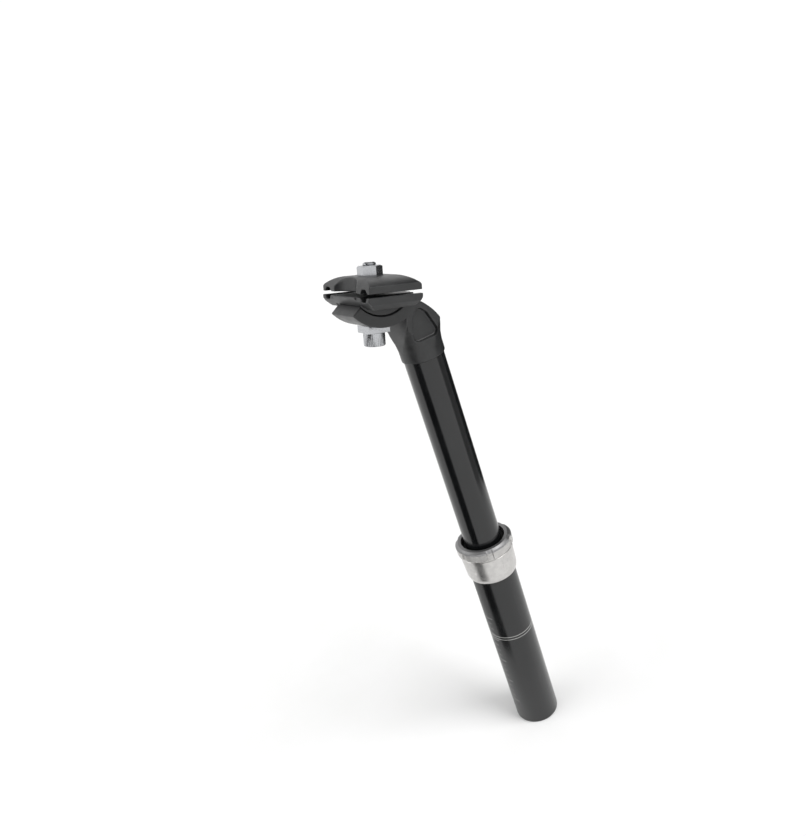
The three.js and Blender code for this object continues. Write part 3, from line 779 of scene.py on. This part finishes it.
def make_lock_collar():
    """A tapered body under a bevelled grip flange, with a groove between them and a lip at the mouth."""
    top, foot, flange = COLLAR_TOP, COLLAR_FOOT, COLLAR_R
    bore, throat = TUBE_R + RUNNING_GAP, STANCHION_R + 0.6
    neck = flange - 1.3
    flange_foot = top - FLANGE_HEIGHT
    groove, groove_r = flange_foot - 1.2, neck - 0.6
    shoulder = span("upper_bush")[2] + FACE_GAP
    wiper_r, wiper_foot, wiper_top = span("wiper_seal")
    seat_r, seat, seat_top = wiper_r + RUNNING_GAP, wiper_foot - FACE_GAP, wiper_top + FACE_GAP
    corners = [
        (bore, foot, 0.25), (FOOT_R, foot, 0.5), (BODY_R, foot + 2.8, 2.0), (neck, groove - 2.0, 0.6),
        (neck, groove - 0.8, 0.3), (groove_r, groove - 0.3, 0.2), (groove_r, groove + 0.3, 0.2),
        (flange, flange_foot, 0.4), (flange, top - BEVEL_HEIGHT, 0.5), (BEVEL_R, top, 0.6),
        (MOUTH_R, top, 0.35), (MOUTH_R, seat_top, 0.2), (seat_r, seat_top), (seat_r, seat),
        (throat, seat, 0.2), (throat, shoulder, 0.2), (bore, shoulder),
        (bore, shoulder - 0.6, 0, Thread(-0.55, COARSE)),
        (bore, foot + 1.0),
    ]
    collar = turned("lock_collar_body", corners, sides=288)

    def notched(radius, angle, z):
        """Shallow notches in the flange's rim for a hook spanner."""
        pitch = 2 * math.pi / SPANNER_NOTCHES
        away = abs((angle - NOTCH_TURN + pitch / 2) % pitch - pitch / 2) * radius
        rim = flange - SPANNER_NOTCH_DEPTH
        if z > flange_foot - 0.5 and radius > rim and away < NOTCH_HALF_WIDTH:
            radius = rim
        return radius, angle, z

    return reshaped(collar, notched)


def make_wiper_seal():
    r, foot, top = span("wiper_seal")
    lip = STANCHION_R + 0.06
    relief = lip + 0.5
    corners = [
        (relief, foot, 0.2), (r, foot, 0.3), (r, top - 0.95, 0.25), (r - 0.6, top - 0.5, 0.25),
        (15.6, top - 0.55, 0.3), (14.9, top - 1.25, 0.4), (14.1, top - 0.75, 0.4),
        (lip + 0.45, top, 0.25), (lip, top, 0.12), (lip, top - 0.7, 0.2), (relief, top - 1.6, 0.3),
        (relief, foot + 1.6, 0.3), (lip, foot + 0.9, 0.25),
    ]
    return turned("wiper_seal_ring", corners)


# ---- upper post

GUIDE_R, GUIDE_FOOT, GUIDE_TOP = span("lower_guide_ring")
STOP_R, STOP_FOOT, STOP_TOP = span("spring_stop")
ROD_R, ROD_FOOT, _ = span("guide_rod")
SNAP_R, SNAP_FOOT, SNAP_TOP = span("snap_ring")
STANCHION_BORE = STOP_R + FIT_GAP
KEY_SEAT_R = STANCHION_R - 1
STUD_R = 3.9  # the guide rod's, in the spring stop


def make_stanchion():
    r, bore, guide_seat, snap_seat = STANCHION_R, STANCHION_BORE, STANCHION_R - 0.6, SNAP_R + 0.1
    snap_foot, snap_top = SNAP_FOOT - FACE_GAP, SNAP_TOP + 0.15
    corners = [
        (bore + 0.3, STANCHION_FOOT, 0.2), (r, STANCHION_FOOT, 0.5), (r, GUIDE_FOOT - FACE_GAP, 0.1),
        (guide_seat, GUIDE_FOOT - FACE_GAP, 0.15), (guide_seat, GUIDE_TOP + FACE_GAP, 0.15),
        (r, GUIDE_TOP + FACE_GAP, 0.1), (r, STANCHION_TOP, 0.25), (bore, STANCHION_TOP, 0.25),
        (bore, snap_top), (snap_seat, snap_top, 0.1), (snap_seat, snap_foot, 0.1), (bore, snap_foot),
        (bore, STANCHION_FOOT + 0.5, 0.2),
    ]
    foot, top = KEY_FOOT - FIT_GAP, KEY_TOP + FIT_GAP
    seats = [key_bar("cutter", i, 3.1, KEY_SEAT_R, 20, foot, top) for i in range(KEYS)]
    return cut(turned("stanchion_tube", corners), *seats)


def make_key(i):
    """A round-ended brass key with eased edges."""
    name = f"anti_rotation_key_body_{i + 1}"
    key = key_bar(name, i, 3.0, KEY_SEAT_R + FIT_GAP, KEY_OUTER, KEY_FOOT, KEY_TOP, steps=14)
    return eased(key, width=0.18, segments=2, above=30)


def make_guide_ring():
    """A wide bearing ring with two grease grooves and a slanted slit."""
    inner, groove_r = STANCHION_R - 0.55, GUIDE_R - 0.4
    third = (GUIDE_TOP - GUIDE_FOOT) / 3
    corners = [(inner, GUIDE_FOOT, 0.15), (GUIDE_R, GUIDE_FOOT, 0.6)]
    for z in (GUIDE_FOOT + third, GUIDE_FOOT + 2 * third):
        corners += [(GUIDE_R, z - 0.9, 0.15), (groove_r, z - 0.6, 0.15)]
        corners += [(groove_r, z + 0.6, 0.15), (GUIDE_R, z + 0.9, 0.15)]
    corners += [(GUIDE_R, GUIDE_TOP, 0.6), (inner, GUIDE_TOP, 0.15)]
    lean, half = 0.9, 0.5
    low, high = GUIDE_FOOT - 1, GUIDE_TOP + 1
    slit = [(-lean - half, low), (-lean + half, low), (lean + half, high), (lean - half, high)]
    return cut(turned("lower_guide_ring_body", corners), prism("cutter", slit, -20, 0, "X"))


def make_spring_stop():
    bore, waist = STUD_R + FIT_GAP, STOP_R - 0.5
    corners = [
        (bore, STOP_FOOT, 0.3), (STOP_R, STOP_FOOT, 0.4), (STOP_R, STOP_FOOT + 2.6, 0.2),
        (waist, STOP_FOOT + 3.1, 0.2), (waist, STOP_TOP - 3.1, 0.2), (STOP_R, STOP_TOP - 2.6, 0.2),
        (STOP_R, STOP_TOP, 0.4), (8, STOP_TOP, 0.3), (7.4, STOP_TOP - 0.8, 0.3),
        (bore, STOP_TOP - 0.8, 0.3),
    ]
    return turned("spring_stop_disc", corners)


def make_guide_rod():
    shoulder, waist = STOP_FOOT - FACE_GAP, ROD_R - 0.5
    corners = [
        (0, ROD_FOOT), (ROD_R, ROD_FOOT, 1.6), (ROD_R, ROD_FOOT + 8, 0.3), (waist, ROD_FOOT + 8.8, 0.3),
        (waist, shoulder - 6.8, 0.3), (ROD_R, shoulder - 6, 0.3), (ROD_R, shoulder, 0.4),
        (STUD_R, shoulder), (STUD_R, STOP_TOP - 0.9, 0.6), (0, STOP_TOP - 0.9),
    ]
    return turned("guide_rod_body", corners, sides=FEW_SIDES)


def make_snap_ring():
    """A C-shaped ring, thinner towards its ends, with an eye at each end for the pliers."""
    inner, mouth = SNAP_R - 2.1, 21
    lug_r, hole_r, eye_ring = 1.75, 0.8, 9.9
    steps = 96
    outline = arc(SNAP_R, mouth, 360 - mouth, steps)
    for k in range(steps + 1):
        a = math.radians(360 - mouth - (360 - 2 * mouth) * k / steps)
        r = inner + 0.5 * math.cos(a)
        outline.append((r * math.cos(a), r * math.sin(a)))
    snap = prism("snap_ring_body", outline, SNAP_FOOT, SNAP_TOP, "Z")
    for side in (-1, 1):
        a = math.radians(side * (mouth + 7))
        eye = (eye_ring * math.cos(a), eye_ring * math.sin(a))
        joined(snap, prism("lug", arc(lug_r, 0, 354, 35, eye), SNAP_FOOT, SNAP_TOP, "Z"))
        cut(snap, prism("cutter", arc(hole_r, 0, 350, 27, eye), SNAP_FOOT - 1, SNAP_TOP + 1, "Z"))
    return eased(snap, width=0.15, segments=2, above=50)


# ---- head

HEAD_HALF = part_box("seat_head")[1].y / MM
HEAD_FOOT = STANCHION_TOP + FACE_GAP
CRADLE_LOW, CRADLE_HIGH = clamp_span("rail_cradle")
SEAT_R = -CRADLE_LOW.z + 0.25
SADDLE_R = 28.0  # outside of the head's round seat
TILT_LIMIT = math.radians(JOINTS["saddle_tilt"]["range_deg"][1])
BOLT_R = 4.0


def seat_point(radius, degrees):
    """The post's (x, z) this far from the tilt centre, turned forward from straight down the bolt."""
    a = math.radians(degrees)
    spot = CLAMP_FRAME @ (Vector((radius * math.sin(a), 0, -radius * math.cos(a))) * MM)
    return spot.x / MM, spot.z / MM


def seat_arc(radius, start, end):
    steps = 32
    return [seat_point(radius, start + (end - start) * k / steps) for k in range(steps + 1)]


def head_blank(above_seat):
    """The head from the side, in the post's (x, z), with this much stock left above its round seat."""
    skirt, foot = HEAD_HALF, HEAD_FOOT
    rear, front, neck = -46, 50, 33  # degrees round the seat
    inner = SEAT_R - above_seat
    lip = seat_point(SEAT_R, front)
    heel = seat_point(SADDLE_R, neck)
    outline = [(-skirt, foot), (skirt, foot), (skirt, foot + 7)]
    outline += bezier((skirt, foot + 7), (skirt, foot + 23), (7, 331), (lip[0] + 5, lip[1] - 1), 20)
    outline += seat_arc(inner, front + 1, rear)
    outline += seat_arc(SADDLE_R, rear, neck)
    pull = (-skirt + 0.6, 322)
    outline += bezier(heel, pull, pull, (-skirt, foot + 11), 14)
    return outline


def head_pocket(side):
    """A forging's hollow in the side of the neck."""
    depth = 2.8
    corners = [(-9.2, 313.5, 3), (-9.6, 320, 4), (-6.6, 328.5, 3)]
    corners += [(-1.6, 334, 3), (3.4, 328.5, 4), (8.6, 313, 3)]
    outline = [(x, z) for x, z, _ in rounded(corners, steps=6, support=0)]
    low, high = sorted((side * (HEAD_HALF - depth), side * (HEAD_HALF + 4)))
    return prism("cutter", outline, low, high, "Y")


def make_seat_head():
    """Forged in one piece: a skirt on the stanchion, a leaning neck, and the cradle's round seat."""
    foot, spigot_r = HEAD_FOOT, STOP_R
    head = prism("seat_head_forging", head_blank(above_seat=1.5), -HEAD_HALF, HEAD_HALF, "Y")
    trumpet = [(0, 290), (14, 290), (14, foot + 7), (14.6, foot + 12), (16.6, 319), (20, 326)]
    common(head, turned("trumpet", trumpet + [(60, 338), (60, 390), (0, 390)]))
    cut(head, head_pocket(-1), head_pocket(1))
    forged(head, voxel=0.45, softening=7)
    # machined after forging: the skirt's face, the seat and the bolt's slot
    cut(head, prism("cutter", [(-40, -40), (40, -40), (40, 40), (-40, 40)], 280, foot, "Z"))
    spigot = [(5, foot - 26), (spigot_r - 0.8, foot - 26, 0.2), (spigot_r, foot - 25, 0.3)]
    joined(head, turned("spigot", spigot + [(spigot_r, foot + 2), (5, foot + 2)]))
    return cut(head, seat_cutter(), slot_bar())


def seat_cutter():
    """A drum about the tilt axis that flares at both ends, which leaves the seat with chamfered edges."""
    half, flare = HEAD_HALF, 0.7
    profile = [(0, -half - 4), (SEAT_R + 4, -half - 4), (SEAT_R + flare, -half), (SEAT_R, -half + flare)]
    profile += [(SEAT_R, half - flare), (SEAT_R + flare, half), (SEAT_R + 4, half + 4), (0, half + 4)]
    return turned("cutter", profile, place=CLAMP_FRAME @ Matrix.Rotation(math.pi / 2, 4, "X"), sides=256)


def slot_bar():
    """The round-ended slot that the bolt swings in."""
    reach, half = SADDLE_R * math.sin(TILT_LIMIT), BOLT_R + 0.4
    return prism("cutter", round_ended(half, (-reach, 0), (reach, 0), 16), -38, -16, "Z", CLAMP_FRAME)


# ---- rail clamp

RAIL_HALF_SPACING = 22.0
RAIL_DROP = 8.0  # rail centre below the tilt centre
RAIL_GROOVE_R, RAIL_R = 3.85, 3.5
CLAMP_HALF = CRADLE_HIGH.y
BOLT_HOLE_R = 4.3
WAIST_R = 20.0  # of the hollow each side of the bolt, in the upper clamp
WAIST_HALF = 11.5
NUT_FLATS = 13.0


def rail_cutter(side, floor_sign):
    """A bar along a rail, clipped flat where the rail's lowest or highest line lies."""
    clip = math.degrees(math.acos(RAIL_R / RAIL_GROOVE_R))
    centre = (side * RAIL_HALF_SPACING, -RAIL_DROP)
    start = 90 * floor_sign + clip
    outline = arc(RAIL_GROOVE_R, start, start + 360 - 2 * clip, 40, centre)
    return prism("cutter", outline, -30, 30, "X")


def bolt_hole():
    corners = [(0, -60), (BOLT_HOLE_R, -60), (BOLT_HOLE_R, 30), (0, 30)]
    return turned("cutter", corners, sides=CUTTER_SIDES)


def make_rail_cradle():
    """The lower clamp half: a round belly in the head's seat and two wings with the rail grooves."""
    top, outer = CRADLE_HIGH.z, -CRADLE_LOW.z
    edge = math.degrees(math.acos(-top / outer))
    half = CLAMP_HALF
    belly_half = HEAD_HALF - 0.5
    belly = prism("rail_cradle_body", arc(outer, -90 - edge, -90 + edge, 72), -belly_half, belly_half, "Y")
    wing = [(15.5, top - 4.6), (18.2, top - 7), (half - 2.9, top - 7), (half, top - 3.9), (half, top)]
    wings = [(-y, z) for y, z in reversed(wing)] + wing
    blunt = CRADLE_HIGH.x - 1.1
    drum = prism("drum", arc(outer, -180, 174, 118), -half - 1, half + 1, "Y")
    cradle = joined(belly, common(prism("wings", wings, -blunt, blunt, "X"), drum))
    cut(cradle, rail_cutter(-1, -1), rail_cutter(1, -1), bolt_hole())
    return in_clamp_frame(forged(cradle, voxel=0.36, softening=3))


def make_upper_clamp():
    """A bridge over both rails, waisted at the bolt, with a pocket for the nut."""
    low, high = clamp_span("upper_clamp")
    half, length, crown, foot = CLAMP_HALF, high.x, high.z, low.z
    front = [(half, foot), (half, foot + 4)]
    front += bezier((half, foot + 4), (half - 6, foot + 7.5), (15, crown), (9.5, crown), 14)
    front += [(-y, z) for y, z in reversed(front)]
    side = [(length, foot), (length, foot + 3)]
    side += bezier((length, foot + 3), (14.3, crown - 1.5), (11.5, crown), (8.5, crown), 14)
    side += [(-x, z) for x, z in reversed(side)]
    clamp = prism("upper_clamp_body", front, -25, 25, "X")
    common(clamp, prism("side", side, -half - 1, half + 1, "Y"))
    nut_pocket = prism("cutter", hexagon(NUT_FLATS + 0.4, math.pi / 2), 0.5, 10, "Z")
    away = WAIST_R + WAIST_HALF
    waists = [prism("waist", arc(WAIST_R, 0, 357, 119, (x, 0)), -20, 20, "Z") for x in (-away, away)]
    cut(clamp, rail_cutter(-1, 1), rail_cutter(1, 1), bolt_hole(), nut_pocket, *waists)
    return in_clamp_frame(forged(clamp, voxel=0.36, softening=3))


def make_dished_washer():
    low, high = clamp_span("dished_washer")
    half, dish = high.x, SADDLE_R + 0.2
    edge = math.degrees(math.asin(half / dish))
    side = [(-half, low.z), (half, low.z)] + arc(dish, -90 + edge, -90 - edge, 20)
    washer = prism("dished_washer_body", side, low.y, high.y, "Y")
    eased(washer, width=0.45, segments=3, above=40)
    return in_clamp_frame(cut(washer, bolt_hole()))


def make_clamp_bolt():
    """A socket-head bolt: knurled head, rolled thread."""
    low, high = clamp_span("clamp_bolt")
    head_r, head_top = high.y, low.z + 8
    corners = [
        (0, low.z), (head_r, low.z, 0.9), (head_r, head_top - 0.9), (head_r, head_top, 0.25),
        (BOLT_R, head_top, 0.0),
        (BOLT_R, -18, 0, Thread(0.7, 1.25)),
        (BOLT_R, high.z - 0.8), (BOLT_R - 0.9, high.z, 0.1), (0, high.z),
    ]
    bolt = turned("clamp_bolt_body", corners, sides=120)

    def knurled(radius, angle, z):
        """Forty fine straight ridges round the head."""
        if radius > head_r - 0.3 and z < head_top - 0.5:
            radius -= 0.22 * (0.5 - 0.5 * math.cos(angle * 40))
        return radius, angle, z

    reshaped(bolt, knurled)
    socket = prism("cutter", hexagon(6), low.z - 1, low.z + 4.5, "Z")
    cone = [(0, low.z - 1), (4.6, low.z - 1), (3.1, low.z + 0.6), (0, low.z + 0.6)]
    return in_clamp_frame(cut(bolt, socket, turned("cutter", cone, sides=CUTTER_SIDES)))


def make_clamp_nut():
    """A hexagon nut with its corners turned off at both faces."""
    low, high = clamp_span("clamp_nut")
    corner, thread_r = NUT_FLATS / math.sqrt(3), BOLT_R + 0.06
    nut = prism("clamp_nut_body", hexagon(NUT_FLATS, math.pi / 2), low.z, high.z, "Z")
    turn_off = [(0, low.z), (corner - 1.1, low.z), (corner, low.z + 0.65), (corner, high.z - 0.65)]
    turn_off += [(corner - 1.1, high.z), (0, high.z)]
    common(nut, turned("cone", turn_off, sides=FEW_SIDES))
    hole = [(0, low.z - 1), (5.3, low.z - 1), (thread_r, low.z + 0.5), (thread_r, high.z - 0.5)]
    hole += [(5.3, high.z + 1), (0, high.z + 1)]
    return in_clamp_frame(cut(nut, turned("cutter", hole, sides=CUTTER_SIDES)))


# ---- camera, floor and lights

CAMERA_ROUND = math.radians(241)  # behind the post and to the bicycle's right
CAMERA_ABOVE = math.radians(27.4)
CAMERA_AWAY = 0.491
LOOKED_AT = Vector((0, 0, 0.22))
CAMERA_PAN, CAMERA_TIP, CAMERA_ROLL = math.radians(3.01), math.radians(4.74), math.radians(17.7)
LENS, SENSOR = 33.07, 36.0
FLOOR_HALF, FLOOR_GAP = 14.0, 0.0002
CARD_TOP = 0.6
WHITE_BELOW, DIM_ABOVE = math.radians(30), math.radians(52)  # of the world, above the horizon
WHITE, DIM = 1.04, 0.32


def direction(round_z, above):
    flat = math.cos(above)
    return Vector((math.cos(round_z) * flat, math.sin(round_z) * flat, math.sin(above)))


def add_camera():
    data = bpy.data.cameras.new("camera")
    data.lens, data.sensor_width, data.sensor_fit = LENS, SENSOR, "HORIZONTAL"
    data.clip_start = 0.01
    camera = bpy.data.objects.new("camera", data)
    bpy.context.scene.collection.objects.link(camera)
    towards = direction(CAMERA_ROUND, CAMERA_ABOVE)
    aim = (-towards).to_track_quat("-Z", "Y").to_matrix().to_4x4()
    swing = (
        Matrix.Rotation(CAMERA_PAN, 4, "Y")
        @ Matrix.Rotation(CAMERA_TIP, 4, "X")
        @ Matrix.Rotation(-CAMERA_ROLL, 4, "Z")
    )
    camera.matrix_world = Matrix.Translation(LOOKED_AT + towards * CAMERA_AWAY) @ aim @ swing
    bpy.context.scene.camera = camera


def floor_material():
    made = Surface("pale_floor", (0.86, 0.86, 0.855), 0.6, Specular_IOR_Level=0.0)
    made.tint((0.88, 0.88, 0.88), made.noise(60), 0.35, 0.7)
    made.add_bump(made.noise(3), 0.02)
    return made.material


def add_floor():
    bm = bmesh.new()
    bmesh.ops.create_grid(bm, x_segments=8, y_segments=8, size=FLOOR_HALF)
    floor = to_object("floor", bm, Matrix.Translation((0, 0, cad_box[0][2] - FLOOR_GAP)))
    floor.data.materials.append(floor_material())


def card(name, turn, away, width, foot, shade):
    """A standing studio card that shows only in reflections, turned from the camera by degrees."""
    outline = [(-width / 2, foot), (width / 2, foot), (width / 2, CARD_TOP), (-width / 2, CARD_TOP)]
    facing = Matrix.Rotation(CAMERA_ROUND + math.radians(turn), 4, "Z") @ Matrix.Translation((away, 0, 0))
    bm = bmesh.new()
    bm.faces.new([bm.verts.new((0, y, z)) for y, z in outline])
    made = to_object(name, bm, facing)
    paint = Surface(name + "_paint", (shade,) * 3, 1.0, Specular_IOR_Level=0.0)
    made.data.materials.append(paint.material)
    for ray in ("camera", "diffuse", "shadow", "transmission", "volume_scatter"):
        setattr(made, "visible_" + ray, False)


def soft_light(name, turn, above, spread, strength):
    """A lamp so far off that it lights the whole floor evenly, turned from the camera by degrees."""
    data = bpy.data.lights.new(name, "SUN")
    data.angle, data.energy = math.radians(spread), strength
    light = bpy.data.objects.new(name, data)
    bpy.context.scene.collection.objects.link(light)
    towards = direction(CAMERA_ROUND + math.radians(turn), math.radians(above))
    light.matrix_world = towards.to_track_quat("Z", "Y").to_matrix().to_4x4()


def add_world():
    """White round the sides, as far up as the camera sees, and dimmer overhead."""
    world = bpy.data.worlds.new("studio")
    bpy.context.scene.world = world
    world.use_nodes = True
    tree = world.node_tree
    z = node(tree, "SeparateXYZ", {0: node(tree, "TexCoord").outputs["Generated"]}).outputs[2]
    strength = ramp(tree, z, math.sin(WHITE_BELOW), math.sin(DIM_ABOVE), WHITE, DIM)
    background = tree.nodes["Background"].inputs
    tree.links.new(strength, background["Strength"])
    background["Color"].default_value = (1, 1, 1, 1)


def add_studio():
    add_world()
    soft_light("key_light", turn=60, above=50, spread=34, strength=1.9)
    soft_light("fill_light", turn=-80, above=38, spread=50, strength=0.7)
    card("left_flag", turn=-51, away=0.12, width=0.083, foot=0.0, shade=0.0)
    card("right_flag", turn=132, away=0.24, width=0.225, foot=0.07, shade=0.02)
    card("saddle_shade", turn=88, away=0.24, width=0.18, foot=0.07, shade=0.25)
    bpy.context.scene.view_settings.view_transform = "Standard"
    bpy.context.scene.view_settings.look = "None"


# ---- the object

PIECES = [
    (make_outer_tube, "lower_post", "outer_tube", "black_anodised", MARKED),
    (make_upper_bush, "lower_post", "upper_bush", "dark_polymer", PLASTIC),
    (make_top_out_ring, "lower_post", "top_out_ring", "black_rubber", RUBBER),
    (make_spring, "lower_post", "main_spring", "spring_steel", WIRE),
    (make_elastomer, "lower_post", "preload_elastomer", "elastomer", FOAM),
    (make_spacer_disc, "lower_post", "spacer_disc", "plated_steel", ZINC),
    (make_bumper, "lower_post", "bottom_out_bumper", "black_rubber", RUBBER),
    (make_preload_washer, "preload_follower", "preload_washer", "plated_steel", ZINC),
    (make_preload_plug, "turning_plug", "preload_plug", "silver_aluminium", SILVER),
    (make_plug_seal, "turning_plug", "plug_seal", "black_rubber", RUBBER),
    (make_lock_collar, "turning_collar", "lock_collar", "silver_aluminium", GRIPPED),
    (make_wiper_seal, "lifting_wiper", "wiper_seal", "black_rubber", RUBBER),
    (make_stanchion, "upper_post", "stanchion", "black_anodised", BLACK),
    (make_guide_ring, "upper_post", "lower_guide_ring", "dark_polymer", PLASTIC),
    (make_spring_stop, "upper_post", "spring_stop", "silver_aluminium", SILVER),
    (make_guide_rod, "upper_post", "guide_rod", "dark_polymer", PLASTIC),
    (make_snap_ring, "upper_post", "snap_ring", "spring_steel", WIRE),
    (make_seat_head, "upper_post", "seat_head", "black_forging", FORGING),
    (make_rail_cradle, "tilting_clamp", "rail_cradle", "black_forging", FORGING),
    (make_dished_washer, "tilting_clamp", "dished_washer", "plated_steel", ZINC),
    (make_clamp_bolt, "turning_bolt", "clamp_bolt", "plated_steel", ZINC),
    (make_upper_clamp, "lifting_clamp", "upper_clamp", "black_forging", FORGING),
    (make_clamp_nut, "lifting_clamp", "clamp_nut", "plated_steel", ZINC),
]

add_camera()
made = {name: finished(make(), body, name, paint) for make, body, name, slot, paint in PIECES}
for i in range(KEYS):
    finished(make_key(i), "upper_post", f"anti_rotation_key_{i + 1}", BRASS)

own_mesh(made["main_spring"])

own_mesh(made["preload_elastomer"])

add_floor()
add_studio()
